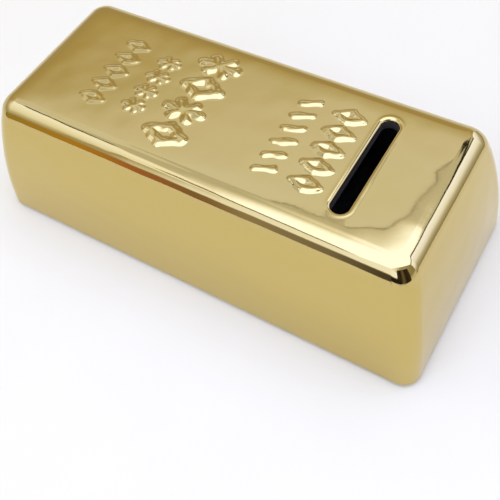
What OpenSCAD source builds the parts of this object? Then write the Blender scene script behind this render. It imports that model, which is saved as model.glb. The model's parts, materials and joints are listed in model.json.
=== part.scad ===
// A money box in the shape of a cast bar of gold. One hollow ceramic shell has a coin slot in
// its top and a round hole in its base, and a soft two-piece stopper closes the hole.
//
// Millimetres. X runs along the bar towards the coin slot, Y across it and Z up. The origin is
// the middle of the footprint, on the surface that the four pads stand on.

/* [Bar] */
// Length of the bar at its base
bar_length = 170; // [140:1:210]
// Width of the bar at its base
bar_width = 77; // [64:1:100]
// Height of the ceramic, from its base to its top panel
bar_height = 50; // [40:1:65]
// How far each end leans in between base and top
end_lean = 9.5; // [6:0.5:12]
// How far each long side leans in between base and top
side_lean = 8.8; // [6:0.2:11]
// How far the walls swell out at half height
wall_swell = 1.6; // [0.4:0.1:2]
// Radius of the upright corners
corner_radius = 6; // [5.5:0.5:8]
// Radius of the edge round the top panel
top_edge_radius = 5.5; // [3:0.1:6]
// Radius of the edge round the base
base_edge_radius = 1; // [0.5:0.1:1.5]
// Thickness of the fired wall
wall = 4; // [3:0.25:5]
// Radius inside the hollow, where walls, floor and ceiling meet
hollow_radius = 3; // [2:0.5:4]

/* [Coin slot] */
// Length of the coin slot, end to end
slot_length = 39; // [30:0.5:46]
// Width of the coin slot
slot_width = 5.5; // [5:0.1:7]
// Distance from the slot's middle line to the end of the top panel's outline
slot_from_end = 27.3; // [20:0.1:34]

/* [Raised ornament] */
// Height of the ornament above the top panel
relief_height = 1; // [0.6:0.1:1.5]
// Gap between neighbouring ornaments in a row
ornament_gap = 1.2; // [0.8:0.1:2]
// Clear edge of the top panel beside the widest row
row_margin = 8; // [6:0.5:12]

/* [Stopper] */
// Diameter of the hole through the base
hole_diameter = 38; // [30:0.5:42]
// Width of the collar's flange outside the hole
flange_width = 5; // [4:0.5:6]
// Depth of the sunk seat that hides the stopper
seat_depth = 3.4; // [3:0.1:4.5]
// Thickness of the collar's flange
flange_thickness = 1.6; // [1.2:0.1:1.8]
// Gap round the flange in its seat
flange_clearance = 0.6; // [0.3:0.1:1]
// How much larger the collar's neck is than the hole, on the radius
neck_squeeze = 0.1; // [0.05:0.05:0.2]
// Thickness of the collar's neck
neck_wall = 3; // [2.4:0.1:3.6]
// How far the collar's barb reaches past the hole's edge
barb_reach = 1.5; // [1:0.1:2]
// Height of the barb above the floor
barb_height = 1.8; // [1.4:0.1:2.4]
// Thickness of the cap's walls
cap_wall = 1.6; // [1.2:0.1:2]
// Thickness of the cap's flange
cap_flange_thickness = 1.2; // [1:0.1:1.4]
// How far the cap's flange overlaps the collar
cap_overlap = 3.4; // [2.5:0.1:4]
// Running gap between cap and collar, on the radius
cap_clearance = 0.06; // [0.03:0.01:0.1]
// Thickness of the pull bar across the cap
grip_thickness = 3; // [2.4:0.2:4]

/* [Pads] */
// Diameter of each foam pad
pad_diameter = 12; // [8:0.5:16]
// Thickness of each foam pad
pad_thickness = 1.2; // [0.8:0.1:2]
// Distance from each base edge to a pad's middle
pad_inset = 13; // [10:0.5:20]

/* [Hidden] */
$fn = 64;

// How far a raised or joined solid reaches into the one that carries it
embed = 1;
// How far a cut runs past the faces that it opens
past = 1;

corner_steps = 8;
edge_steps = 5;
wall_steps = 7;

top_half_x = bar_length / 2 - end_lean;
top_half_y = bar_width / 2 - side_lean;
slot_x = top_half_x - slot_from_end;
base_z = pad_thickness;
top_z = base_z + bar_height;

// Angle of the walls from upright where they meet the top edge
top_tilt = atan((end_lean + side_lean + 8 * wall_swell) / (2 * bar_height));
top_tangent = top_edge_radius * tan(45 - top_tilt / 2);

hole_radius = hole_diameter / 2;
seat_radius = hole_radius + flange_width;
boss_radius = seat_radius + wall;
seat_z = base_z + seat_depth;
floor_z = seat_z + wall;
neck_radius = hole_radius + neck_squeeze;
bore_radius = neck_radius - neck_wall;
flange_z = seat_z - flange_thickness;
barb_z = floor_z + barb_height;
barb_lead = 0.8;
cap_radius = bore_radius - cap_clearance;
dish_radius = cap_radius - cap_wall;
cap_z = flange_z - cap_flange_thickness;
cap_rise = 0.2;
cap_top_z = barb_z + cap_rise;
dish_z = cap_top_z - cap_wall;
cap_lead = 0.6;
grip_recess = 0.6;

// Rows of ornament from the plain end to the slot. Each holds its place as a share of the top's
// length, its height along the bar, its margin beyond row_margin, its count, line width and kind
ornament_rows = [
    [0.2, 9.5, 5.5, 5, 1.6, "lozenge"],
    [0.3, 8.5, 8, 4, 2, "star"],
    [0.41, 15.5, 0, 4, 2.6, "mixed"],
    [0.645, 8, 4.5, 6, 1.8, "slant"],
    [0.735, 10.5, 4, 5, 1.9, "lozenge"]
];

// How far the wall stands in from the base outline, at a share k of the height
function wall_inset(lean, k) = lean * k - 4 * wall_swell * k * (1 - k);

// One level of the bar: height, half sizes along X and Y, and corner radius
function level(z, extra_x, extra_y, radius) =
    [z, bar_length / 2 - extra_x, bar_width / 2 - extra_y, radius];

function wall_level(z, extra, radius) =
    let (k = z / bar_height)
    level(z, wall_inset(end_lean, k) + extra, wall_inset(side_lean, k) + extra, radius);

function outer_levels() =
    let (wall_top = bar_height - top_edge_radius * (1 - sin(top_tilt)))
    concat(
        [for (i = [0:edge_steps - 1])
            let (a = 90 * i / edge_steps, extra = base_edge_radius * (1 - sin(a)))
            wall_level(base_edge_radius * (1 - cos(a)), extra, corner_radius - extra)],
        [for (i = [0:wall_steps - 1])
            wall_level(base_edge_radius + (wall_top - base_edge_radius) * i / wall_steps,
                       0, corner_radius)],
        [for (i = [0:edge_steps])
            let (a = top_tilt + (90 - top_tilt) * i / edge_steps,
                 extra = top_tangent - top_edge_radius * cos(a))
            level(bar_height - top_edge_radius * (1 - sin(a)), end_lean + extra,
                  side_lean + extra, corner_radius - max(extra, 0))]
    );

function hollow_levels() =
    let (low = wall + hollow_radius, high = bar_height - wall - hollow_radius, steps = 3)
    concat(
        [for (i = [0:steps - 1])
            let (a = 90 * i / steps)
            wall_level(low - hollow_radius * cos(a), wall + hollow_radius * (1 - sin(a)),
                       hollow_radius)],
        [for (i = [0:wall_steps - 1])
            wall_level(low + (high - low) * i / wall_steps, wall, hollow_radius)],
        [for (i = [0:steps])
            let (a = 90 * i / steps)
            wall_level(high + hollow_radius * sin(a), wall + hollow_radius * (1 - cos(a)),
                       hollow_radius)]
    );

// Points round a rectangle with rounded corners, at one level
function ring(l) = [
    for (corner = [0:3], s = [0:corner_steps])
        let (a = 90 * corner + 90 * s / corner_steps,
             side_x = corner == 0 || corner == 3 ? 1 : -1,
             side_y = corner < 2 ? 1 : -1)
        [side_x * (l[1] - l[3]) + l[3] * cos(a), side_y * (l[2] - l[3]) + l[3] * sin(a), l[0]]
];

// A closed solid through a stack of rings, from the lowest to the highest
module stack(levels) {
    count = 4 * (corner_steps + 1);
    last = len(levels) - 1;
    points = [for (l = levels) each ring(l)];
    sides = [for (i = [0:last - 1], j = [0:count - 1])
        let (a = i * count + j, b = i * count + (j + 1) % count)
        each [[a, a + count, b], [b, a + count, b + count]]];
    polyhedron(points, concat(sides, [[for (j = [0:count - 1]) j]],
                              [[for (j = [count - 1:-1:0]) last * count + j]]), convexity = 4);
}

// The long way through the top wall, with round ends
module slot_cut() {
    straight = slot_length / 2 - slot_width / 2;
    depth = wall + 2 * past;
    translate([slot_x, 0, top_z - wall - past]) {
        translate([-slot_width / 2, -straight, 0]) cube([slot_width, 2 * straight, depth]);
        for (side = [-1, 1])
            translate([0, side * straight, 0]) cylinder(d = slot_width, h = depth);
    }
}

// Ornaments, drawn with their width along Y and their height along X

function lozenge_points(width, height) =
    [[height / 2, 0], [0, width / 2], [-height / 2, 0], [0, -width / 2]];

module lozenge(width, height, line) {
    rest = 1 - 2 * line / min(width, height);
    difference() {
        polygon(lozenge_points(width, height));
        polygon(lozenge_points(width * rest, height * rest));
    }
}

module star(width, height, line) {
    rays = 6;
    points = [for (i = [0:2 * rays - 1])
        let (a = 180 * i / rays, reach = i % 2 == 0 ? 1 : line / min(width, height))
        [height / 2 * reach * cos(a), width / 2 * reach * sin(a)]];
    polygon(points);
}

module slant(width, height, line) {
    polygon([[height / 2, width / 2 - line], [height / 2, width / 2],
             [-height / 2, line - width / 2], [-height / 2, -width / 2]]);
}

// A row of ornaments across the bar; every second one may be a star
module ornament_row(place, height, margin, count, line, kind) {
    span = 2 * (top_half_y - margin);
    pitch = (span + ornament_gap) / count;
    width = pitch - ornament_gap;
    translate([-top_half_x + 2 * top_half_x * place, 0, top_z - embed])
        for (i = [0:count - 1])
            translate([0, (i - (count - 1) / 2) * pitch, 0])
                linear_extrude(relief_height + embed)
                    if (kind == "slant") slant(width, height, line);
                    else if (kind == "star" || (kind == "mixed" && i % 2 == 1))
                        star(width, height, line);
                    else lozenge(width, height, line);
}

module relief() {
    for (row = ornament_rows)
        ornament_row(row[0], row[1], row_margin + row[2], row[3], row[4], row[5]);
}

// The fired body: hollow bar, sunk stopper seat, coin slot and raised ornament
module bar_shell() {
    color([0.83, 0.7, 0.4])
    difference() {
        union() {
            difference() {
                translate([0, 0, base_z]) stack(outer_levels());
                translate([0, 0, base_z]) stack(hollow_levels());
            }
            translate([0, 0, base_z + wall - embed])
                cylinder(r = boss_radius, h = seat_depth + embed);
            relief();
        }
        slot_cut();
        translate([0, 0, base_z - past]) cylinder(r = seat_radius, h = seat_depth + past);
        translate([0, 0, base_z - past]) cylinder(r = hole_radius, h = floor_z - base_z + 2 * past);
    }
}

// Soft ring that stays in the hole: flange in the seat, neck through the floor, barb above it
module stopper_collar() {
    flange_radius = seat_radius - flange_clearance;
    barb_radius = hole_radius + barb_reach;
    color([0.1, 0.1, 0.11])
    rotate_extrude()
        polygon([[bore_radius, flange_z], [flange_radius, flange_z], [flange_radius, seat_z],
                 [neck_radius, seat_z], [neck_radius, floor_z], [barb_radius, floor_z],
                 [barb_radius, barb_z - barb_lead], [neck_radius - barb_lead, barb_z],
                 [bore_radius, barb_z]]);
}

// Soft cap that pulls out downwards: flange, skirt, closed top and a pull bar across its dish
module stopper_cap() {
    color([0.13, 0.13, 0.14]) {
        rotate_extrude()
            polygon([[0, dish_z], [dish_radius, dish_z], [dish_radius, cap_z],
                     [bore_radius + cap_overlap, cap_z], [bore_radius + cap_overlap, flange_z],
                     [cap_radius, flange_z], [cap_radius, cap_top_z - cap_lead],
                     [cap_radius - cap_lead, cap_top_z], [0, cap_top_z]]);
        translate([-dish_radius - cap_wall / 2, -grip_thickness / 2, cap_z + grip_recess])
            cube([2 * dish_radius + cap_wall, grip_thickness,
                  dish_z + cap_wall / 2 - cap_z - grip_recess]);
    }
}

// One foam pad, under the corner that the two signs name
module pad(side_x, side_y) {
    color([0.2, 0.2, 0.2])
    translate([side_x * (bar_length / 2 - pad_inset), side_y * (bar_width / 2 - pad_inset), 0])
        cylinder(d = pad_diameter, h = pad_thickness);
}

bar_shell();
stopper_collar();
stopper_cap();
pad(-1, -1);  // pad_front_left
pad(1, -1);  // pad_front_right
pad(-1, 1);  // pad_back_left
pad(1, 1);  // pad_back_right
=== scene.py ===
"""Looks of a money box shaped like a cast gold bar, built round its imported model.

The plated ceramic shell, the soft stopper and the foam pads are modelled here in full. Lengths
in the classes are millimetres, and MM turns them into metres where a mesh is made.
"""

import json
import logging
import math
from collections.abc import Callable, Iterable, Sequence
from dataclasses import dataclass, field
from enum import Enum

import bmesh
import bpy
import numpy as np
from mathutils import Matrix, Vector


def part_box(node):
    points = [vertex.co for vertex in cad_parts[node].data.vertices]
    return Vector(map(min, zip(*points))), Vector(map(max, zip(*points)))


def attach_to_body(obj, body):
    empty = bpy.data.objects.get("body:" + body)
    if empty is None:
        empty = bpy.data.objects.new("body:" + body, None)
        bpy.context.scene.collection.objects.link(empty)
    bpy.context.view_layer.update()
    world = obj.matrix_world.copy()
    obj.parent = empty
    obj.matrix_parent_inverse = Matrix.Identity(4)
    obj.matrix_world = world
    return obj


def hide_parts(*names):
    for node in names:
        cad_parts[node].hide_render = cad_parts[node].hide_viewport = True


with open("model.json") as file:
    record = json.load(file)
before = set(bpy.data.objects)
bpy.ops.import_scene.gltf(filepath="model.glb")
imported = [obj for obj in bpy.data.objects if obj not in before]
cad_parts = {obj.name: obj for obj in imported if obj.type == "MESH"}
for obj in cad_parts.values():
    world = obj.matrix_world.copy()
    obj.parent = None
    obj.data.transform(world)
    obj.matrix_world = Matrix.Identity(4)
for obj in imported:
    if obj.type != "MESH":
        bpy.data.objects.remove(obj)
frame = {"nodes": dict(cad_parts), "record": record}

MM = 0.001
NEAR = 0.02
LOG = logging.getLogger("gold_bar_money_box")

Point = tuple[float, float, float]
Colour = tuple[float, float, float]
Pair = tuple[float, float]
Stops = Sequence[tuple[float, Colour]]
Part = bpy.types.Object
Material = bpy.types.Material
Tree, Node, Socket = bpy.types.NodeTree, bpy.types.Node, bpy.types.NodeSocket


# ---- Hand tools that every part is shaped with


def clear() -> None:
    """Leave edit mode and deselect everything."""
    if bpy.context.object and bpy.context.object.mode != "OBJECT":
        bpy.ops.object.mode_set(mode="OBJECT")
    bpy.ops.object.select_all(action="DESELECT")


def hold(*parts: Part) -> None:
    """Select some parts and nothing else, the first of them active."""
    clear()
    for part in parts:
        part.select_set(True)
    bpy.context.view_layer.objects.active = parts[0]


def take(name: str, size: Point = (1.0, 1.0, 1.0)) -> Part:
    """Name the primitive that was just added, and apply its size and place.

    Args:
        name: The name of the part.
        size: How many times longer it is made each way.

    Returns:
        The part, alone selected and active.
    """
    part = bpy.context.object
    part.name = part.data.name = name
    part.scale = size
    bpy.ops.object.transform_apply(location=True, rotation=True, scale=True)
    return part


def edit(part: Part, kind: str = "EDGE") -> None:
    """Open a part in edit mode, with nothing selected.

    Args:
        part: The part to open.
        kind: VERT, EDGE or FACE, for what is selected.
    """
    hold(part)
    bpy.ops.object.mode_set(mode="EDIT")
    bpy.ops.mesh.select_mode(type=kind)
    bpy.ops.mesh.select_all(action="DESELECT")


def everything() -> None:
    """Select all of the open part."""
    bpy.ops.mesh.select_all(action="SELECT")


def pick(part: Part, kind: str, test: Callable[..., bool]) -> None:
    """Select only the elements of an open part that pass a test.

    Args:
        part: The part.
        kind: VERT, EDGE or FACE.
        test: Says yes to what is wanted.
    """
    bpy.ops.mesh.select_mode(type=kind)
    bpy.ops.mesh.select_all(action="DESELECT")
    sheet = bmesh.from_edit_mesh(part.data)
    sheet.normal_update()
    pool = {"VERT": sheet.verts, "EDGE": sheet.edges, "FACE": sheet.faces}[kind]
    for item in [item for item in pool if test(item)]:
        item.select_set(True)
    sheet.select_flush_mode()
    bmesh.update_edit_mesh(part.data)


def at_height(height: float) -> Callable[[bmesh.types.BMEdge], bool]:
    """Make a test for edges that lie level at a height in millimetres."""
    return lambda edge: all(abs(v.co.z / MM - height) < NEAR for v in edge.verts)


def resize(x: float, y: float) -> None:
    """Scale what is selected along and across the bar, about the upright axis."""
    bpy.ops.transform.resize(value=(x, y, 1.0), center_override=(0.0, 0.0, 0.0))


def move(x: float, y: float, z: float) -> None:
    """Move what is selected by millimetres."""
    bpy.ops.transform.translate(value=(x * MM, y * MM, z * MM))


def cut(point: Point, normal: Point) -> None:
    """Cut the whole open part through a point given in millimetres."""
    everything()
    bpy.ops.mesh.bisect(plane_co=[at * MM for at in point], plane_no=normal)


def round_edges(width: float, steps: int) -> None:
    """Bevel the selected edges round, by a width in millimetres."""
    bpy.ops.mesh.bevel(offset=width * MM, segments=steps, profile=0.5, affect="EDGES", clamp_overlap=False)


def close(part: Part, heights: Iterable[float], fill: Callable[[], set]) -> None:
    """Close the open rims at some heights, and tidy the part.

    Args:
        part: The part.
        heights: The heights in millimetres.
        fill: The operator that closes what is selected.
    """
    edit(part)
    for height in heights:
        level = at_height(height)
        pick(part, "EDGE", lambda edge: edge.is_boundary and level(edge))
        fill()
    tidy(part)


def modifier(part: Part, kind: str, **settings: object) -> None:
    """Add one modifier to a part and apply it.

    Args:
        part: The part to finish.
        kind: The modifier's type, such as BEVEL.
        **settings: The modifier's own settings.
    """
    hold(part)
    bpy.ops.object.modifier_add(type=kind)
    tool = part.modifiers[-1]
    for name, value in settings.items():
        setattr(tool, name, value)
    bpy.ops.object.modifier_apply(modifier=tool.name)


def tidy(part: Part) -> None:
    """Merge doubled points and turn every face outwards."""
    edit(part, "VERT")
    everything()
    bpy.ops.mesh.remove_doubles(threshold=1e-6)
    bpy.ops.mesh.normals_make_consistent(inside=False)
    clear()


def smooth(part: Part, angle: float) -> None:
    """Shade a part smooth where its faces meet at less than an angle in degrees."""
    hold(part)
    bpy.ops.object.shade_smooth_by_angle(angle=math.radians(angle))


def even(part: Part) -> None:
    """Let a part's large faces lead its shading."""
    modifier(part, "WEIGHTED_NORMAL", mode="FACE_AREA", weight=50, keep_sharp=True)


def clothe(part: Part, *finishes: Material) -> None:
    """Give a part its finishes and no others."""
    part.data.materials.clear()
    for finish in finishes:
        part.data.materials.append(finish)


def turned(name: str, profile: Sequence[Pair], steps: int, closed: bool = False) -> Part:
    """Turn a profile round the upright axis, ring by ring.

    Args:
        name: The name of the part.
        profile: Pairs of radius and height in millimetres, in order.
        steps: Sides of each ring.
        closed: Whether the last ring joins the first.

    Returns:
        The turned part, open at its ends unless it is closed.
    """
    clear()
    radius, height = profile[0]
    bpy.ops.mesh.primitive_circle_add(vertices=steps, radius=radius * MM, location=(0, 0, height * MM),
                                      rotation=(0, 0, math.pi / steps))
    part = take(name)
    edit(part)
    everything()
    for next_radius, next_height in list(profile[1:]) + ([profile[0]] if closed else []):
        bpy.ops.mesh.extrude_region_move(
            TRANSFORM_OT_translate={"value": (0, 0, (next_height - height) * MM)})
        resize(next_radius / radius, next_radius / radius)
        radius, height = next_radius, next_height
    clear()
    return part


# ---- Finishes


class Sheet:
    """A node tree that is filled in by short calls."""

    def __init__(self, tree: Tree) -> None:
        """Start on a tree, and empty it."""
        self.tree = tree
        tree.nodes.clear()

    def put(self, socket: Socket, value: object) -> None:
        """Link an output to an input socket, or set the socket's value."""
        if isinstance(value, Socket):
            self.tree.links.new(value, socket)
        elif socket.type == "RGBA":
            socket.default_value = (*value, 1.0)
        else:
            socket.default_value = value

    def fill(self, node: Node, inputs: dict[str | int, object]) -> Node:
        """Set or link a node's inputs, by number or by name with _ for a space."""
        for name, value in inputs.items():
            place = name.replace("_", " ") if isinstance(name, str) else name
            self.put(node.inputs[place], value)
        return node

    def node(self, kind: str, settings: dict[str, object] | None = None, **inputs: object) -> Node:
        """Add a node, and set or link its inputs.

        Args:
            kind: The node's type name, after ShaderNode.
            settings: Values of the node's own properties.
            **inputs: Values or output sockets, by input name with _ for a space.

        Returns:
            The node.
        """
        node = self.tree.nodes.new("ShaderNode" + kind)
        for name, value in (settings or {}).items():
            setattr(node, name, value)
        return self.fill(node, inputs)

    def maths(self, operation: str, first: object, second: object) -> Socket:
        """Add a Math node and return its output."""
        node = self.node("Math", {"operation": operation})
        return self.fill(node, {0: first, 1: second}).outputs[0]

    def blend(self, share: object, first: object, second: object) -> Socket:
        """Mix two colours by a share and return the colour."""
        node = self.node("Mix", {"data_type": "RGBA"})
        return self.fill(node, {0: share, 6: first, 7: second}).outputs[2]

    def span(self, value: object, low: object, high: object, start: object = 0.0,
             end: object = 1.0, kind: str = "SMOOTHSTEP") -> Socket:
        """Map a value from one range to another, with soft ends unless the kind is LINEAR."""
        return self.node("MapRange", {"interpolation_type": kind}, Value=value, From_Min=low,
                         From_Max=high, To_Min=start, To_Max=end).outputs[0]

    def fade(self, place: Socket, along: Point, ends: Pair, kind: str = "SMOOTHSTEP") -> Socket:
        """Rise from 0 to 1 along a direction, between two distances in millimetres."""
        dot = self.node("VectorMath", {"operation": "DOT_PRODUCT"})
        distance = self.fill(dot, {0: place, 1: along}).outputs["Value"]
        return self.span(distance, ends[0] * MM, ends[1] * MM, kind=kind)

    def ramp(self, share: object, stops: Stops) -> Socket:
        """Add a Color Ramp through the given stops and return its colour."""
        node = self.node("ValToRGB", Fac=share)
        marks = node.color_ramp.elements
        while len(marks) < len(stops):
            marks.new(1.0)
        for mark, (place, colour) in zip(marks, stops):
            mark.position = place
            mark.color = (*colour, 1.0)
        return node.outputs[0]

    def bump(self, height: object, distance: float, **under: object) -> Socket:
        """Add a bump of a height in millimetres, over the Normal under it if there is one."""
        return self.node("Bump", Height=height, Distance=distance * MM, **under).outputs[0]


@dataclass(frozen=True)
class Effects:
    """The shared groups: cloudy change and scattered dots."""

    cloud: Tree
    speckle: Tree

    @classmethod
    def make(cls) -> "Effects":
        """Build both groups and return them."""
        return cls(cls.make_cloud(), cls.make_speckle())

    @staticmethod
    def start(name: str, inputs: dict[str, float]) -> tuple[Sheet, dict, Socket]:
        """Start a group with a Place input, number inputs and one Value output.

        Args:
            name: The group's name.
            inputs: The number inputs and their usual values.

        Returns:
            The sheet of the group, its inputs by name, and the socket of its output.
        """
        tree = bpy.data.node_groups.new(name, "ShaderNodeTree")
        add = tree.interface.new_socket
        add(name="Place", in_out="INPUT", socket_type="NodeSocketVector")
        for label, value in inputs.items():
            socket = add(name=label, in_out="INPUT", socket_type="NodeSocketFloat")
            socket.default_value = value
        add(name="Value", in_out="OUTPUT", socket_type="NodeSocketFloat")
        sheet = Sheet(tree)
        given = tree.nodes.new("NodeGroupInput").outputs
        return sheet, given, tree.nodes.new("NodeGroupOutput").inputs[0]

    @staticmethod
    def make_cloud() -> Tree:
        """Make the group for slow, cloudy change: glaze pooling, smudges, swell.

        Returns:
            The group, with Size in millimetres and Low and High for its range.
        """
        sheet, given, out = Effects.start("cloud", {"Size": 20.0, "Low": 0.0, "High": 1.0, "Detail": 2.0})
        scale = sheet.maths("DIVIDE", 1.0 / MM, given["Size"])
        noise = sheet.node("TexNoise", Vector=given["Place"], Scale=scale, Detail=given["Detail"])
        sheet.put(out, sheet.span(noise.outputs[0], 0.3, 0.7, given["Low"], given["High"]))
        return sheet.tree

    @staticmethod
    def make_speckle() -> Tree:
        """Make the group for scattered dots: pinholes, foam cells, dust.

        Returns:
            The group, with Size of the cells in millimetres, Dot as a share of a cell and
            Share of the cells that hold a dot.
        """
        sheet, given, out = Effects.start("speckle", {"Size": 2.0, "Dot": 0.2, "Share": 1.0})
        scale = sheet.maths("DIVIDE", 1.0 / MM, given["Size"])
        cells = sheet.node("TexVoronoi", Vector=given["Place"], Scale=scale)
        parted = sheet.node("SeparateColor", Color=cells.outputs["Color"])
        held = sheet.maths("LESS_THAN", parted.outputs[0], given["Share"])
        rim = sheet.maths("MULTIPLY", given["Dot"], 0.5)
        soft = sheet.span(cells.outputs["Distance"], given["Dot"], rim)
        sheet.put(out, sheet.maths("MULTIPLY", held, soft))
        return sheet.tree


class Finish(Sheet):
    """The node tree of one material, round one shader and the object-space place."""

    def __init__(self, name: str, effects: Effects | None = None, kind: str = "BsdfPrincipled") -> None:
        """Start a material.

        Args:
            name: The material's name.
            effects: The shared groups, where the material uses them.
            kind: The type of its shader.
        """
        self.material = bpy.data.materials.new(name)
        self.material.use_nodes = True
        super().__init__(self.material.node_tree)
        self.effects = effects
        self.place = self.node("TexCoord").outputs["Object"]
        self.shader = self.node(kind)
        self.node("OutputMaterial", Surface=self.shader.outputs[0])

    def group(self, tree: Tree, **inputs: object) -> Socket:
        """Place a shared group and return its one output."""
        node = self.node("Group", {"node_tree": tree})
        return self.fill(node, {"Place": self.place, **inputs}).outputs[0]

    def cloud(self, size: float, low: float = 0.0, high: float = 1.0, detail: float = 2.0) -> Socket:
        """Add cloudy change between two values, of a size in millimetres."""
        return self.group(self.effects.cloud, Size=size, Low=low, High=high, Detail=detail)

    def dots(self, size: float, dot: float, share: float) -> Socket:
        """Add dots, a share of the cells of a size holding one that is a share of a cell."""
        return self.group(self.effects.speckle, Size=size, Dot=dot, Share=share)

    def pits(self, dots: Socket, depth: float, **under: object) -> Socket:
        """Sink the dots into the surface, by a depth in millimetres."""
        return self.bump(self.maths("SUBTRACT", 1.0, dots), depth, **under)

    def done(self, **inputs: object) -> Material:
        """Set or link the shader's inputs, and return the material."""
        self.fill(self.shader, inputs)
        return self.material


@dataclass(frozen=True)
class PlatedGlaze:
    """Mirror gold film over a slip-cast, glazed body.

    The walls take a deeper, warmer gold than the top, as painted shade rather than a change in the film,
    and the film is mottled at random. The glaze under it swells slowly, has a faint orange-peel skin, rare
    pinholes and wiped smudges.
    """

    base: float
    pale: Colour = (0.605, 0.48, 0.2)
    mottle_and_wall_shade: Colour = (0.592, 0.458, 0.158)
    wall_height: float = 42.0
    fade_height: float = 6.0
    wall_shade: float = 0.95
    swell_size: float = 34.0
    swell_height: float = 0.22
    peel_size: float = 2.2
    peel_height: float = 0.0022
    pinhole_cell: float = 9.0
    pinhole_depth: float = 0.05
    pinhole_shade: Colour = (0.25, 0.17, 0.06)

    def make(self, effects: Effects) -> Material:
        """Build the material and return it."""
        sheet = Finish("plated_glaze", effects)
        height = sheet.node("SeparateXYZ", Vector=sheet.place).outputs[2]
        walls = self.base + self.wall_height
        # Painted shade: below the wall height the walls take the deeper, warmer tint; the cloud adds
        # random mottling over it.
        wall_shade = sheet.span(height, walls * MM, (walls + self.fade_height) * MM, self.wall_shade, 0.0)
        share = sheet.maths("MAXIMUM", wall_shade, sheet.cloud(26.0, high=0.35))
        tint = sheet.blend(share, self.pale, self.mottle_and_wall_shade)
        pinholes = sheet.dots(self.pinhole_cell, 0.03, 0.3)
        # Pinholes are real pits, sunk and rougher; their darker colour is painted shade inside them.
        tint = sheet.blend(sheet.maths("MULTIPLY", pinholes, 0.6), tint, self.pinhole_shade)
        smudge = sheet.cloud(14.0, 0.045, 0.085, 5.0)
        rough = sheet.maths("ADD", smudge, sheet.maths("MULTIPLY", pinholes, 0.3))
        normal = sheet.bump(sheet.cloud(self.swell_size), self.swell_height)
        normal = sheet.bump(sheet.cloud(self.peel_size), self.peel_height, Normal=normal)
        normal = sheet.pits(pinholes, self.pinhole_depth, Normal=normal)
        return sheet.done(Base_Color=tint, Roughness=rough, Normal=normal, Metallic=1.0)


@dataclass(frozen=True)
class ShadedBareBody:
    """Unglazed inside of the casting: chalky and matt, but coloured near black as painted shade of the
    closed hollow, faintly stained, with a sandy skin.
    """

    # Painted shade: the inside is coloured near black for the dark of the closed hollow; raw clay would be
    # off-white.
    shaded_clay: Colour = (0.04, 0.033, 0.028)
    stain_and_shade: Colour = (0.022, 0.018, 0.015)
    grain: float = 0.06

    def make(self, effects: Effects) -> Material:
        """Build the material and return it."""
        sheet = Finish("bare_body", effects)
        stains = sheet.cloud(18.0, high=0.7, detail=4.0)
        return sheet.done(Base_Color=sheet.blend(stains, self.shaded_clay, self.stain_and_shade),
                          Roughness=sheet.cloud(6.0, 0.8, 0.95),
                          Normal=sheet.bump(sheet.cloud(0.7, detail=3.0), self.grain))


@dataclass(frozen=True)
class SoftPvc:
    """Moulded soft black PVC: satin skin, pale bloom, fine grain and a little dust."""

    name: str
    skin: Colour
    bloom: Colour = (0.09, 0.09, 0.088)
    dust: Colour = (0.45, 0.43, 0.4)
    roughness: Pair = (0.36, 0.52)
    grain: float = 0.012

    def make(self, effects: Effects) -> Material:
        """Build the material and return it."""
        sheet = Finish(self.name, effects)
        colour = sheet.blend(sheet.cloud(8.0, high=0.45, detail=5.0), self.skin, self.bloom)
        dust = sheet.maths("MULTIPLY", sheet.dots(1.6, 0.07, 0.25), 0.7)
        return sheet.done(Base_Color=sheet.blend(dust, colour, self.dust),
                          Roughness=sheet.cloud(5.0, *self.roughness),
                          Normal=sheet.bump(sheet.cloud(0.35), self.grain))


@dataclass(frozen=True)
class FoamSkin:
    """Closed-cell black foam of the pads, with a scuffed face and open cells, sunk and painted darker as
    shade in them.
    """

    foam: Colour = (0.045, 0.045, 0.047)
    scuff: Colour = (0.12, 0.118, 0.112)
    cell_shade: Colour = (0.015, 0.015, 0.016)
    pit_depth: float = 0.05

    def make(self, effects: Effects) -> Material:
        """Build the material and return it."""
        sheet = Finish("foam_skin", effects)
        cells = sheet.dots(0.45, 0.36, 0.8)
        colour = sheet.blend(sheet.cloud(3.0, high=0.6, detail=5.0), self.foam, self.scuff)
        # Painted shade: the open cells are darkened in colour as well as sunk.
        colour = sheet.blend(sheet.maths("MULTIPLY", cells, 0.6), colour, self.cell_shade)
        return sheet.done(Base_Color=colour, Roughness=sheet.cloud(2.0, 0.75, 0.95),
                          Normal=sheet.pits(cells, self.pit_depth))


@dataclass(frozen=True)
class StagePaper:
    """Matt paper of one tone, for the floor and the dark boards round the set."""

    name: str
    tone: Colour

    def make(self, effects: Effects) -> Material:
        """Build the material and return it."""
        sheet = Finish(self.name, effects)
        darker = tuple(part * 0.96 for part in self.tone)
        tooth = sheet.cloud(40.0, high=0.25, detail=4.0)
        return sheet.done(Base_Color=sheet.blend(tooth, self.tone, darker), Roughness=0.9,
                          Specular_IOR_Level=0.1)


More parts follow.
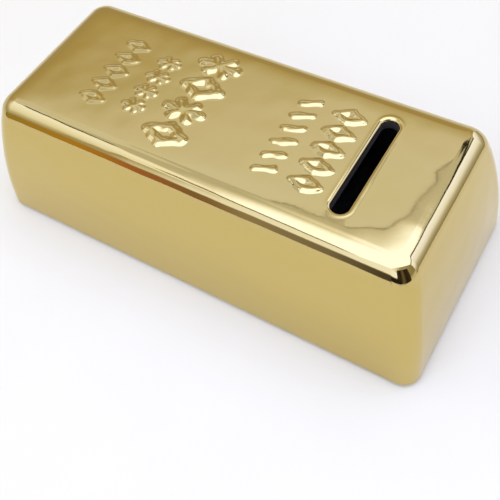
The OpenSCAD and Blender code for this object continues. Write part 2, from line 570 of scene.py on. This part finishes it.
@dataclass(frozen=True)
class SoftboxCloth:
    """Front cloth of the softbox: bright over the lamp and at its left end, dim elsewhere."""

    along: Point
    edge_tone: Colour = (1.0, 1.03, 1.15)
    lamp_tone: Colour = (1.0, 1.12, 1.8)
    edge: float = 0.78
    lamp: float = 2.0
    left: float = 1.45
    lamp_line: Point = (0.92, -0.39, 0.0)
    lamp_ends: Pair = (-285, 20)
    near_ends: Pair = (415, 335)
    near_least: float = 0.12
    left_ends: Pair = (-380, -460)

    def make(self) -> Material:
        """Build the material and return it."""
        sheet = Finish("softbox_cloth", kind="Emission")
        lamp = sheet.fade(sheet.place, self.lamp_line, self.lamp_ends)
        near = sheet.fade(sheet.place, (0.0, 1.0, 0.0), self.near_ends)
        lamp = sheet.maths("MULTIPLY", lamp, sheet.span(near, 0.0, 1.0, self.near_least))
        left = sheet.fade(sheet.place, self.along, self.left_ends)
        lit = sheet.maths("MAXIMUM", sheet.maths("MULTIPLY", left, self.left),
                          sheet.span(lamp, 0.0, 1.0, self.edge, self.lamp))
        white = sheet.span(lit, self.edge, self.lamp)
        return sheet.done(Color=sheet.blend(white, self.edge_tone, self.lamp_tone), Strength=lit)


@dataclass(frozen=True)
class RoomSide:
    """A dim side of the room, in bands of colour along one direction."""

    name: str
    along: Point
    stops: Stops

    def make(self) -> Material:
        """Build the material and return it."""
        sheet = Finish(self.name, kind="Emission")
        first, last = self.stops[0][0], self.stops[-1][0]
        share = sheet.fade(sheet.place, self.along, (first, last), "LINEAR")
        stops = [((at - first) / (last - first), colour) for at, colour in self.stops]
        return sheet.done(Color=sheet.ramp(share, stops))


# ---- Raised ornament


class Mark(Enum):
    """The generic ornaments that the rows are made of."""

    LOZENGE = "lozenge"
    STAR = "star"
    SLANT = "slant"


@dataclass(frozen=True)
class OrnamentRow:
    """One row of raised ornament across the bar."""

    place: float
    height: float
    margin: float
    marks: tuple[Mark, ...]
    line: float
    rise: float

    def strokes(self, half_x: float, half_y: float, gap: float) -> list[tuple[float, ...]]:
        """Work out the strokes of the row.

        Args:
            half_x: Half length of the top outline.
            half_y: Half width of the top outline.
            gap: Gap between neighbouring ornaments.

        Returns:
            For each stroke its two ends, as x, y, x, y in millimetres.
        """
        count = len(self.marks)
        pitch = (2 * (half_y - self.margin) + gap) / count
        middle_x = -half_x + 2 * half_x * self.place
        reach_x = (self.height - self.line) / 2
        reach_y = (pitch - gap - self.line) / 2
        middles = [(index - (count - 1) / 2) * pitch for index in range(count)]
        return [(middle_x + ax * reach_x, middle_y + ay * reach_y,
                 middle_x + bx * reach_x, middle_y + by * reach_y)
                for middle_y, mark in zip(middles, self.marks) for ax, ay, bx, by in self.pattern(mark)]

    @staticmethod
    def pattern(mark: Mark) -> list[tuple[float, float, float, float]]:
        """Give the two ends of each stroke of an ornament, in a square from -1 to 1."""
        if mark is Mark.LOZENGE:
            tips = [(1, 0), (0, 1), (-1, 0), (0, -1)]
            return [(*tips[i], *tips[(i + 1) % 4]) for i in range(4)]
        if mark is Mark.STAR:
            turns = [math.pi * i / 3 for i in range(3)]
            return [(math.cos(a), math.sin(a), -math.cos(a), -math.sin(a)) for a in turns]
        return [(0.9, 0.75, -0.9, -0.75)]


def ripple(points: np.ndarray, *waves: Pair) -> np.ndarray:
    """Add up sine waves over points, each given by its rate along x and along y."""
    return sum(np.sin(points @ np.array(wave)) for wave in waves)


@dataclass
class Relief:
    """The raised rows, as soft ridges on the top panel."""

    half_x: float
    half_y: float
    rise: float
    gap: float = 1.2
    edge: float = 8.0
    cell: float = 0.34
    foot: float = 1.7
    wander: float = 0.15
    sag: float = 0.12
    crossing: int = 6
    rows: list[OrnamentRow] = field(default_factory=list)

    def __post_init__(self) -> None:
        """Lay out the five rows, from the plain end to the slot."""
        lozenge, star, slant = Mark.LOZENGE, Mark.STAR, Mark.SLANT
        self.rows = [OrnamentRow(0.2, 9.5, self.edge + 5.5, (lozenge,) * 5, 1.6, 0.4),
                     OrnamentRow(0.3, 8.5, self.edge + 8, (star,) * 4, 1.7, 0.55),
                     OrnamentRow(0.41, 15.5, self.edge, (lozenge, star) * 2, 2.7, 1.0),
                     OrnamentRow(0.645, 8.0, self.edge + 4.5, (slant,) * 6, 1.8, 0.6),
                     OrnamentRow(0.735, 10.5, self.edge + 4, (lozenge,) * 5, 1.9, 0.75)]

    def height(self, points: np.ndarray) -> np.ndarray:
        """Work out how high the relief stands at points of the panel.

        Args:
            points: Rows of x and y in millimetres.

        Returns:
            The height as a share of the full rise, from 0 to 1.
        """
        total = np.zeros(len(points))
        sag = self.sag * ripple(points, (0.9, 0.4)) * ripple(points, (-0.5, 0.8))
        points = points + self.wander * np.column_stack((
            ripple(points, (0.8, 1.5), (0.6, -0.9)), ripple(points, (1.3, -0.9), (0.5, 0.7))))
        for row in self.rows:
            reach = row.line / 2 * self.foot
            for ax, ay, bx, by in row.strokes(self.half_x, self.half_y, self.gap):
                start, along = np.array([ax, ay]), np.array([bx - ax, by - ay])
                share = np.clip((points - start) @ along / float(along @ along), 0, 1)
                away = np.linalg.norm(points - start - np.multiply.outer(share, along), axis=1)
                ridge = (1 - np.clip(away / reach, 0, 1) ** 2) ** 2
                total += (row.rise * ridge) ** self.crossing
        return np.minimum(total ** (1 / self.crossing), 1.0) * (1 - self.sag + sag)

    def panel(self, half: Pair, top: float, gap_middle: float, gap_half: Pair) -> Part:
        """Model the top panel with its relief, and leave a gap for the slot.

        Args:
            half: Half the panel's length and width.
            top: Its height.
            gap_middle: Where the gap's middle is along the bar.
            gap_half: Half the gap's size along and across the bar.

        Returns:
            The panel, an open sheet.
        """
        clear()
        length, width = 2 * half[0], 2 * half[1]
        bpy.ops.mesh.primitive_grid_add(
            x_subdivisions=round(length / self.cell), y_subdivisions=round(width / self.cell),
            size=MM, location=(0, 0, top * MM))
        sheet = take("relief_panel", (length, width, 1))
        edit(sheet, "FACE")
        pick(sheet, "FACE", lambda face: abs(face.calc_center_median().x / MM - gap_middle) < gap_half[0]
             and abs(face.calc_center_median().y / MM) < gap_half[1])
        bpy.ops.mesh.delete(type="FACE")
        clear()
        flat = np.array([vertex.co[:2] for vertex in sheet.data.vertices]) / MM
        raised = sheet.vertex_groups.new(name="raised")
        for index, share in enumerate(self.height(flat)):
            if share > 1e-4:
                raised.add([index], float(share), "REPLACE")
        modifier(sheet, "DISPLACE", direction="Z", mid_level=0.0,
                 strength=self.rise * MM, vertex_group="raised")
        sheet.vertex_groups.clear()
        return sheet


# ---- Shell


@dataclass(frozen=True)
class Block:
    """Sizes of one leaning block with rounded edges, open at its top and base."""

    half_x: float
    half_y: float
    low: float
    high: float
    lean_x: float
    lean_y: float
    swell: float
    upright_radius: float
    top_round: float
    base_round: float
    steps: int = 14
    border: float = 0.25
    levels: int = 12

    def swollen(self, share: float, half: float, lean: float) -> float:
        """Give how much wider than straight a wall stands at a share of the height."""
        return (half - lean * share + 4 * self.swell * share * (1 - share)) / (half - lean * share)

    def model(self, name: str) -> Part:
        """Model the block from a cube, with a narrow flat border left of its top and base.

        Args:
            name: The name of the part.

        Returns:
            The block.
        """
        clear()
        tall = self.high - self.low
        bpy.ops.mesh.primitive_cube_add(size=MM, location=(0, 0, (self.low + tall / 2) * MM))
        part = take(name, (2 * self.half_x, 2 * self.half_y, tall))
        edit(part, "FACE")
        pick(part, "FACE", lambda face: face.normal.z > 0.9)
        resize(1 - self.lean_x / self.half_x, 1 - self.lean_y / self.half_y)
        shares = [step / self.levels for step in range(1, self.levels)]
        for share in shares:
            cut((0, 0, self.low + tall * share), (0, 0, 1))
        for share in shares:
            pick(part, "EDGE", at_height(self.low + tall * share))
            resize(self.swollen(share, self.half_x, self.lean_x),
                   self.swollen(share, self.half_y, self.lean_y))
        self.round_off(part)
        return part

    def round_off(self, part: Part) -> None:
        """Round the edges of the block and open its top and base.

        Args:
            part: The block, in edit mode.
        """
        bevels = ((lambda edge: abs(edge.verts[0].co.z - edge.verts[1].co.z) > NEAR * MM,
                   self.upright_radius, self.steps),
                  (at_height(self.high), self.top_round, self.steps),
                  (at_height(self.low), self.base_round, max(3, self.steps // 2)))
        for test, radius, steps in bevels:
            pick(part, "EDGE", test)
            round_edges(radius, steps)
        for side, height in ((1, self.high), (-1, self.low)):
            pick(part, "FACE", lambda face: face.normal.z * side > 0.999
                 and abs(face.calc_center_median().z / MM - height) < NEAR)
            bpy.ops.mesh.inset(thickness=self.border * MM)
            bpy.ops.mesh.delete(type="FACE")
        clear()


@dataclass
class Shell:
    """The one-piece ceramic body: bar, relief, coin slot, stopper seat and hollow."""

    base: float
    top: float
    slot_x: float
    slot_straight: float
    slot_half_width: float
    half_length: float = 85.0
    half_width: float = 38.5
    end_lean: float = 9.5
    side_lean: float = 8.8
    swell: float = 1.6
    corner_radius: float = 6.0
    top_edge: float = 4.05
    base_edge: float = 1.0
    wall: float = 4.0
    hollow_radius: float = 3.0
    relief_rise: float = 1.0
    lip_reach: float = 2.5
    lip_rise: float = 0.1
    lip_margin: float = 0.6
    crown_depth: float = 0.26
    crown_width: float = 8.5
    crown_fade: float = 9.0
    hole_radius: float = 19.0
    seat_radius: float = 24.0
    seat_depth: float = 3.4
    panel_border: float = 0.95
    skin: float = 3.2
    plated_throat: float = 0.8

    def outside(self) -> Part:
        """Model the outer block."""
        return Block(self.half_length, self.half_width, self.base, self.top, self.end_lean,
                     self.side_lean, self.swell, self.corner_radius, self.top_edge,
                     self.base_edge).model("plated_shell")

    def hollow(self) -> Part:
        """Model the inner block, a wall's thickness inside the outer one."""
        low_share = self.wall / (self.top - self.base)
        lean_x, lean_y = (lean * (1 - 2 * low_share) for lean in (self.end_lean, self.side_lean))
        thinning, rim = 0.4, self.hollow_radius * 0.8
        return Block(self.half_length - self.wall - self.end_lean * low_share + thinning,
                     self.half_width - self.wall - self.side_lean * low_share + thinning,
                     self.base + self.wall, self.top - self.wall, lean_x, lean_y,
                     self.swell - thinning, self.hollow_radius, rim, rim, steps=4,
                     levels=5).model("hollow")

    def slot(self) -> Part:
        """Model the slot's soft lip and throat, turned as a ring and then drawn out long.

        Returns:
            The slot, open at the panel and at the ceiling of the hollow.
        """
        reach, rise = self.lip_reach, self.lip_rise
        lip = [(reach, 0.0), (reach * 0.85, rise * 0.1), (reach * 0.72, rise * 0.4),
               (reach * 0.6, rise * 0.8), (reach * 0.5, rise), (reach * 0.41, rise * 0.75),
               (0.78, -0.02), (0.55, -0.13), (0.34, -0.3), (0.17, -0.55), (0.05, -0.9), (0.0, -1.35)]
        throat = [(0.0, -self.wall + 0.4), (0.12, -self.wall + 0.12), (0.4, -self.wall), (1.6, -self.wall)]
        profile = [(self.slot_half_width + away, self.top + rise) for away, rise in lip + throat]
        part = turned("slot", profile, 64)
        edit(part, "VERT")
        for side in (1, -1):
            pick(part, "VERT", lambda vertex: vertex.co.y * side > 0)
            move(0, side * self.slot_straight, 0)
        everything()
        move(self.slot_x, 0, 0)
        clear()
        return part

    def seat(self) -> Part:
        """Model the sunk seat, the hole and the boss round it inside.

        Returns:
            The seat, an open sleeve from the base to the floor of the hollow.
        """
        depth, floor = self.seat_depth, self.seat_depth + self.wall
        seat, hole, wall = self.seat_radius, self.hole_radius, self.wall
        boss = seat + wall
        profile = [(seat + 2.0, 0.0), (seat + 0.9, 0.0), (seat + 0.45, 0.1), (seat + 0.1, 0.4),
                   (seat, 0.85), (seat, depth - 0.5), (seat - 0.15, depth - 0.15),
                   (seat - 0.5, depth), (hole + 0.5, depth), (hole + 0.15, depth + 0.15),
                   (hole, depth + 0.5), (hole, floor - 0.5), (hole + 0.15, floor - 0.15),
                   (hole + 0.5, floor), (boss - 1.5, floor), (boss - 0.45, floor - 0.45),
                   (boss, floor - 1.5), (boss, wall + 1.0), (boss + 0.3, wall + 0.3),
                   (boss + 1.0, wall), (boss + 2.0, wall)]
        return turned("seat", [(r, self.base + z) for r, z in profile], 96)

    def model(self) -> Part:
        """Model the whole shell.

        Returns:
            The shell, one closed casting.
        """
        relief = Relief(self.half_length - self.end_lean, self.half_width - self.side_lean,
                        self.relief_rise)
        inner = tuple(half - self.panel_border for half in self.panel_half())
        lip = self.slot_half_width + self.lip_reach + self.lip_margin
        panel = relief.panel(inner, self.top, self.slot_x, (lip, self.slot_straight + lip))
        part = self.outside()
        hold(part, self.hollow(), panel, self.slot(), self.seat())
        bpy.ops.object.join()
        close(part, (self.top, self.top - self.wall, self.base, self.base + self.wall),
              lambda: bpy.ops.mesh.fill(use_beauty=True))
        self.crown(part)
        return part

    def panel_half(self) -> Pair:
        """Give half the length and half the width of the flat top, inside the rounded edge."""
        return (self.half_length - self.end_lean - self.top_edge,
                self.half_width - self.side_lean - self.top_edge)

    def crown(self, part: Part) -> None:
        """Let the top fall softly towards its edges.

        Args:
            part: The shell.
        """
        most = 6 * self.crown_depth
        inner = self.panel_half()
        falling = part.vertex_groups.new(name="falling")
        for vertex in part.data.vertices:
            fade = 1 - (self.top - vertex.co.z / MM) / self.crown_fade
            if fade <= 0:
                continue
            shares = [max(0.0, (abs(vertex.co[axis]) / MM - inner[axis]) / self.crown_width + 1)
                      for axis in (0, 1)]
            fall = self.crown_depth * sum(share ** 3 for share in shares) * min(1.0, fade)
            if fall > 0:
                falling.add([vertex.index], min(1.0, fall / most), "REPLACE")
        modifier(part, "DISPLACE", direction="Z", mid_level=0.0, strength=-most * MM,
                 vertex_group="falling")
        part.vertex_groups.clear()

    def is_inside(self, centre: Point) -> bool:
        """Say whether a face is on the bare inside of the casting.

        Args:
            centre: The middle of the face in metres.

        Returns:
            True well behind the outer skin.
        """
        x, y, z = (part / MM for part in centre)
        margin = 0.5
        share = (z - self.base) / (self.top - self.base)
        swell = 4 * self.swell * share * (1 - share)
        if z > self.top - self.wall and abs(x - self.slot_x) < self.slot_half_width + margin:
            return z < self.top - self.plated_throat
        if math.hypot(x, y) < self.seat_radius + margin and z < self.base + self.seat_depth + 2:
            return False
        return (self.base + self.skin < z < self.top - self.skin
                and abs(x) < self.half_length - self.end_lean * share + swell - self.skin
                and abs(y) < self.half_width - self.side_lean * share + swell - self.skin)

    def dress(self, part: Part, plated: Material, bare: Material) -> None:
        """Give the casting its plated outside and its inside finish, coloured near black as painted shade,
        and even its shading.

        Args:
            part: The shell.
            plated: The finish of the outside.
            bare: The finish of the inside, near black as painted shade.
        """
        clothe(part, plated, bare)
        for face in part.data.polygons:
            face.material_index = int(self.is_inside(face.center))
        smooth(part, 60)
        even(part)


# ---- Stopper and pads


@dataclass
class Stopper:
    """The soft collar in the base hole and the cap that pulls out of it."""

    flange_low: float
    seat: float
    floor: float
    collar_top: float
    cap_low: float
    cap_top: float
    flange_radius: float = 23.4
    flange_thickness: float = 1.6
    neck_radius: float = 19.1
    barb_radius: float = 20.5
    bore_radius: float = 16.1
    clearance: float = 0.06
    cap_flange_radius: float = 19.5
    cap_wall: float = 1.6
    bar_thickness: float = 3.0
    bar_recess: float = 0.6
    rib_pitch: float = 2.6
    rib_waist: float = 0.72
    rib_crest: float = 0.32
    ribs: int = 4
    steps: int = 96

    def collar(self) -> Part:
        """Model the collar: flange with a moulded groove, ribbed neck and barb.

        Returns:
            The collar, closed.
        """
        bore, flange, neck = self.bore_radius, self.flange_radius, self.neck_radius
        low, seat, floor, top = self.flange_low, self.seat, self.floor, self.collar_top
        groove = flange - 2.0
        profile = [(bore, low), (groove - 0.5, low), (groove - 0.35, low + 0.25),
                   (groove + 0.35, low + 0.25), (groove + 0.5, low), (flange, low),
                   (flange, seat), (neck, seat), (neck, seat + 0.8), (neck - 0.4, seat + 1.1),
                   (neck - 0.4, seat + 1.7), (neck, seat + 2.0), (neck, seat + 2.4),
                   (neck - 0.4, seat + 2.7), (neck - 0.4, floor - 0.5), (neck, floor),
                   (self.barb_radius, floor), (self.barb_radius, top - 0.8),
                   (neck - 0.8, top), (bore, top)]
        part = turned("stopper_ring", profile, self.steps, closed=True)
        self.soften(part, 0.16)
        return part

    def cap(self) -> Part:
        """Model the cap: flange, skirt, closed top and a ribbed pull bar across its dish.

        Returns:
            The cap, closed.
        """
        skirt = self.bore_radius - self.clearance
        dish = skirt - self.cap_wall
        low, top = self.cap_low, self.cap_top
        ceiling = top - self.cap_wall
        rim = self.cap_flange_radius
        profile = [(0.8, ceiling), (dish - 1.2, ceiling), (dish - 0.35, ceiling - 0.35),
                   (dish, ceiling - 1.2), (dish, low + 0.5), (dish + 0.15, low + 0.15),
                   (dish + 0.5, low), (rim - 1.4, low), (rim - 1.2, low + 0.2),
                   (rim - 0.8, low + 0.2), (rim - 0.6, low), (rim, low),
                   (rim, self.flange_low), (skirt, self.flange_low), (skirt, top - 0.6),
                   (skirt - 0.6, top), (0.8, top)]
        part = turned("stopper_plug", profile, self.steps)
        close(part, (ceiling, top), bpy.ops.mesh.edge_face_add)
        self.soften(part, 0.14)
        grip = self.pull_bar(dish + self.cap_wall / 2, low + self.bar_recess, ceiling + self.cap_wall / 2)
        modifier(part, "BOOLEAN", operation="UNION", object=grip, solver="EXACT")
        bpy.data.objects.remove(grip)
        return part

    def pull_bar(self, half_length: float, low: float, high: float) -> Part:
        """Model the bar that a finger and thumb pinch, with upright grip ribs.

        Args:
            half_length: Half the bar's length.
            low: Height of its lower edge.
            high: Height of its upper edge.

        Returns:
            The bar, closed.
        """
        clear()
        bpy.ops.mesh.primitive_cube_add(size=MM, location=(0, 0, (low + high) / 2 * MM))
        bar = take("pull_bar", (2 * half_length, self.bar_thickness, high - low))
        edit(bar)
        pitch, ribs = self.rib_pitch, self.ribs
        for step in range(-ribs, ribs + 1):
            for side in (-0.45, -0.2, 0.45, 0.2):
                cut(((step + side) * pitch, 0, 0), (1, 0, 0))
        crest = self.rib_crest * pitch
        pick(bar, "VERT", lambda vertex: abs(vertex.co.x / MM) < (ribs + 0.5) * pitch
             and abs((vertex.co.x / MM + pitch / 2) % pitch - pitch / 2) > crest)
        resize(1.0, self.rib_waist)
        pick(bar, "EDGE", lambda edge: at_height(low)(edge) and abs(edge.verts[0].co.y) > NEAR * MM
             and abs(edge.verts[0].co.y + edge.verts[1].co.y) > self.bar_thickness / 2 * MM)
        round_edges(0.5, 4)
        clear()
        return bar

    @staticmethod
    def soften(part: Part, width: float) -> None:
        """Round the moulded edges of a turned part, by a width in millimetres."""
        tidy(part)
        modifier(part, "BEVEL", width=width * MM, segments=3, limit_method="ANGLE",
                 angle_limit=math.radians(35))

    @staticmethod
    def dress(part: Part, finish: Material) -> None:
        """Give a part its finish and smooth shading."""
        clothe(part, finish)
        smooth(part, 35)
        even(part)


@dataclass
class Pads:
    """The four foam pads, modelled once and copied."""

    places: dict[str, Pair]
    radius: float
    thickness: float

    def model(self) -> dict[str, Part]:
        """Model the pads.

        Returns:
            Each pad by the name of the node that it stands for.
        """
        radius, thick = self.radius, self.thickness
        profile = [(0.6, 0.12), (radius * 0.5, 0.08), (radius - 1.6, 0.0), (radius - 0.7, 0.04),
                   (radius - 0.2, 0.22), (radius, 0.5), (radius - 0.08, thick - 0.32),
                   (radius - 0.2, thick - 0.22), (radius - 0.2, thick - 0.16),
                   (radius - 0.05, thick - 0.12), (radius - 0.05, thick), (0.6, thick)]
        first = turned("pad_master", profile, 48)
        close(first, (profile[0][1], thick), bpy.ops.mesh.edge_face_add)
        smooth(first, 35)
        pads = {}
        for node, (x, y) in self.places.items():
            pad = first.copy()
            pad.data = first.data.copy()
            pad.name = f"foam_{node}"
            bpy.context.collection.objects.link(pad)
            edit(pad)
            everything()
            move(x, y, 0)
            clear()
            pads[node] = pad
        bpy.data.objects.remove(first)
        return pads


# ---- Set: floor, light, boards and camera


@dataclass(frozen=True)
class Camera:
    """The camera's place in millimetres and its angles in degrees."""

    place: Point = (103.8, -129.4, 219.3)
    azimuth: float = 39.0
    elevation: float = 56.2
    roll: float = -9.9
    lens: float = 52.24

    def matrix(self) -> Matrix:
        """Give the camera's place and turn as a matrix in metres."""
        return (Matrix.Translation([part * MM for part in self.place])
                @ Matrix.Rotation(math.radians(self.azimuth), 4, "Z")
                @ Matrix.Rotation(math.radians(90 - self.elevation), 4, "X")
                @ Matrix.Rotation(math.radians(self.roll), 4, "Z"))

    def build(self) -> None:
        """Set up the camera and make it the scene's."""
        data = bpy.data.cameras.new("camera")
        data.lens = self.lens
        data.clip_start = 0.01
        camera = bpy.data.objects.new("camera", data)
        camera.matrix_world = self.matrix()
        bpy.context.collection.objects.link(camera)
        bpy.context.scene.camera = camera


@dataclass(frozen=True)
class Board:
    """A flat prop of the set that shows only in reflections."""

    name: str
    middle: Point
    size: Pair
    turn: Point

    def stand(self, finish: Material, lights: bool = False) -> None:
        """Put the board up.

        Args:
            finish: Its material.
            lights: Whether it also lights matt things, such as the floor.
        """
        clear()
        bpy.ops.mesh.primitive_plane_add(size=MM, location=[part * MM for part in self.middle],
                                         rotation=[math.radians(angle) for angle in self.turn])
        board = take(self.name, (*self.size, 1))
        board.data.materials.append(finish)
        board.visible_camera = False
        board.visible_shadow = False
        board.visible_diffuse = lights


@dataclass
class Studio:
    """A pale floor under a large overhead softbox, with a window panel and dark boards."""

    box_height: float = 600.0
    box_turn: float = 45.0
    box_ends: Pair = (-600.0, 560.0)
    box_sides: Pair = (-410.0, 290.0)
    back: Stops = ((0.0, (0.9, 0.9, 0.9)), (0.12, (0.85, 0.83, 0.8)), (0.3, (0.55, 0.48, 0.38)),
                   (0.5, (0.56, 0.46, 0.27)), (0.588, (0.63, 0.53, 0.31)), (0.62, (0.7, 0.62, 0.45)),
                   (0.68, (0.82, 0.8, 0.75)), (0.72, (0.93, 0.92, 1.0)), (0.8, (1.0, 1.04, 1.22)))
    front: Stops = ((0.0, (0.9, 0.9, 0.9)), (0.15, (0.55, 0.52, 0.47)), (0.25, (0.55, 0.53, 0.48)),
                    (0.41, (0.95, 0.93, 0.86)), (0.57, (1.4, 1.48, 1.8)))
    right: Colour = (0.36, 0.33, 0.22)

    def floor(self, finish: Material) -> None:
        """Lay the floor, of a finish."""
        clear()
        bpy.ops.mesh.primitive_plane_add(size=5.0, location=(0, 0, 0))
        floor = take("floor")
        floor.data.materials.append(finish)

    def directions(self) -> tuple[Point, Point]:
        """Give the directions of the softbox's length and width."""
        turn = math.radians(self.box_turn)
        return (math.cos(turn), math.sin(turn), 0.0), (-math.sin(turn), math.cos(turn), 0.0)

    def overhead(self, name: str, ends: Pair, sides: Pair, finish: Material, lights: bool = False) -> None:
        """Hang a level board in the softbox's own directions.

        Args:
            name: The board's name.
            ends: Where it starts and ends along the softbox.
            sides: Where it starts and ends across the softbox.
            finish: Its material.
            lights: Whether it also lights what is matt.
        """
        along, across = self.directions()
        mid_end, mid_side = sum(ends) / 2, sum(sides) / 2
        x, y = (along[axis] * mid_end + across[axis] * mid_side for axis in (0, 1))
        Board(name, (x, y, self.box_height), (ends[1] - ends[0], sides[1] - sides[0]),
              (0, 0, self.box_turn)).stand(finish, lights)

    def softbox(self, dark: Material, grey: Material) -> None:
        """Hang the softbox with its rim, flap, hood and wings.

        Args:
            dark: The material of the hood.
            grey: The material of the rim and the flap.
        """
        (left, right), (near, far) = self.box_ends, self.box_sides
        cloth = SoftboxCloth(self.directions()[0]).make()
        self.overhead("softbox", self.box_ends, self.box_sides, cloth, lights=True)
        self.overhead("softbox_rim", (-40, right), (far, far + 8), grey)
        self.overhead("softbox_flap", (left - 90, left), (near, -60), grey)
        self.overhead("softbox_hood", (right, right + 55), (near, far + 40), dark)
        cloth = RoomSide("wing_cloth", self.directions()[0], (
            (left - 500, (1.15, 1.2, 1.4)), (-420, (1.5, 1.65, 2.4)))).make()
        self.overhead("softbox_wing", (left, -430), (far, far + 140), cloth)
        self.overhead("softbox_end", (left - 500, left), (-60, far + 140), cloth)

    def surroundings(self) -> None:
        """Fill the room with even light that changes with height and side."""
        world = bpy.data.worlds.new("room")
        bpy.context.scene.world = world
        world.use_nodes = True
        sheet = Sheet(world.node_tree)
        place = sheet.node("TexCoord").outputs["Generated"]
        x, y, z = sheet.node("SeparateXYZ", Vector=place).outputs
        to_front = sheet.span(y, 0.15, -0.35)
        light = sheet.blend(to_front, sheet.ramp(z, self.back), sheet.ramp(z, self.front))
        to_right = sheet.maths("MULTIPLY", sheet.span(x, 0.1, 0.45, 0.0, 0.85), sheet.span(z, 0.12, 0.3))
        light = sheet.blend(to_right, light, self.right)
        glow = sheet.node("Background", Color=light)
        sheet.node("OutputWorld", Surface=glow.outputs[0])

    def build(self, effects: Effects) -> None:
        """Build the whole set, with the shared groups."""
        dark = StagePaper("dark_board", (0.03, 0.025, 0.02)).make(effects)
        grey = StagePaper("grey_board", (0.4, 0.38, 0.36)).make(effects)
        self.floor(StagePaper("pale_floor", (0.88, 0.83, 0.64)).make(effects))
        self.softbox(dark, grey)
        window = RoomSide("window_blind", (0.0, 0.0, 1.0), (
            (50, (0.43, 0.41, 0.36)), (175, (0.73, 0.73, 0.87)), (320, (1.35, 1.48, 2.3)),
            (430, (1.42, 1.6, 2.7)), (590, (1.6, 1.85, 3.4))))
        Board("window", (452, 452, 295), (900, 590), (90, 0, 135)).stand(window.make())
        Board("beam", (212, 495, 597), (330, 50), (0, 0, 168)).stand(dark)
        Board("left_beam", (-485, -110, 597), (200, 46), (0, 0, -52)).stand(dark)
        window = RoomSide("front_blind", (1.0, 0.0, 0.0), (
            (-700, (0.55, 0.5, 0.4)), (-450, (1.3, 1.4, 1.9)), (250, (1.5, 1.7, 2.7))))
        Board("front_window", (0, -900, 560), (1500, 460), (90, 0, 0)).stand(window.make())
        front = RoomSide("room_front", (1.0, 0.0, 0.0), (
            (-212, (0.35, 0.34, 0.12)), (-121, (0.62, 0.36, 0.06)), (-84, (0.53, 0.21, 0.09)),
            (-49, (0.32, 0.2, 0.12)), (-17, (0.42, 0.36, 0.31)), (14, (0.3, 0.27, 0.26)),
            (54, (0.1, 0.085, 0.08))))
        Board("room_front", (-100, -140, 38), (330, 76), (90, 0, 0)).stand(front.make())
        Board("room_corner", (265, -216, 48), (440, 96), (90, 0, 0)).stand(dark)
        column = RoomSide("room_column", (0.707, 0.707, 0.0), (
            (-60, (0.05, 0.035, 0.025)), (0, (0.03, 0.02, 0.015)), (40, (0.2, 0.16, 0.12)),
            (90, (0.03, 0.02, 0.015)), (160, (0.06, 0.045, 0.035))))
        Board("room_column", (262, -185, 160), (250, 320), (90, 0, 45)).stand(column.make())
        self.surroundings()
        bpy.context.scene.view_settings.view_transform = "Standard"


# ---- The whole object


def attach(part: Part, body: str, node: str) -> None:
    """Put a finished part in the frame.

    Args:
        part: The part.
        body: The body that it rides on.
        node: The node that it stands for.
    """
    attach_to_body(part, body)
    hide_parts(node)
    LOG.info("%s: %d faces on %s, for %s", part.name, len(part.data.polygons), body, node)


def node_box(node: str) -> tuple[np.ndarray, np.ndarray]:
    """Give a node's lowest and highest corners in millimetres."""
    low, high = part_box(node)
    return np.array(low) / MM, np.array(high) / MM


def opening_box(name: str) -> np.ndarray:
    """Give the two corners of a stated opening in millimetres."""
    openings = frame["record"]["physics"]["openings"]
    return np.array(next(o["box_m"] for o in openings if o["name"] == name)) / MM


def build_shell(effects: Effects) -> None:
    """Model, dress and attach the ceramic shell."""
    low, high = node_box("bar_shell")
    slot = opening_box("coin_slot")
    rise = Shell.relief_rise
    shell = Shell(base=low[2], top=high[2] - rise, slot_x=(slot[0][0] + slot[1][0]) / 2,
                  slot_straight=16.75, slot_half_width=2.75)
    part = shell.model()
    shell.dress(part, PlatedGlaze(low[2]).make(effects), ShadedBareBody().make(effects))
    attach(part, "bank", "bar_shell")


def build_stopper(effects: Effects) -> None:
    """Model, dress and attach the collar and the cap."""
    collar_low, collar_high = node_box("stopper_collar")
    cap_low, cap_high = node_box("stopper_cap")
    seat = collar_low[2] + Stopper.flange_thickness
    stopper = Stopper(flange_low=collar_low[2], seat=seat, floor=seat + Shell.wall,
                      collar_top=collar_high[2], cap_low=cap_low[2], cap_top=cap_high[2])
    collar, cap = stopper.collar(), stopper.cap()
    stopper.dress(collar, SoftPvc("soft_pvc_ring", (0.018, 0.018, 0.019)).make(effects))
    stopper.dress(cap, SoftPvc("soft_pvc_plug", (0.024, 0.024, 0.026)).make(effects))
    attach(collar, "bank", "stopper_collar")
    attach(cap, "cap", "stopper_cap")


def build_pads(effects: Effects) -> None:
    """Model, dress and attach the pads."""
    boxes = {node: node_box(node) for node in frame["nodes"] if node.startswith("pad_")}
    places = {node: ((low[0] + high[0]) / 2, (low[1] + high[1]) / 2)
              for node, (low, high) in boxes.items()}
    low, high = next(iter(boxes.values()))
    pads = Pads(places, (high[0] - low[0]) / 2, high[2] - low[2]).model()
    foam = FoamSkin().make(effects)
    for node, pad in pads.items():
        pad.data.materials.append(foam)
        attach(pad, "bank", node)


def main() -> None:
    """Build the camera, the set and the object."""
    logging.basicConfig(level=logging.INFO, format="%(name)s: %(message)s")
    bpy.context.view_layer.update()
    effects = Effects.make()
    Camera().build()
    Studio().build(effects)
    build_shell(effects)
    build_stopper(effects)
    build_pads(effects)


if __name__ == "__main__":
    main()
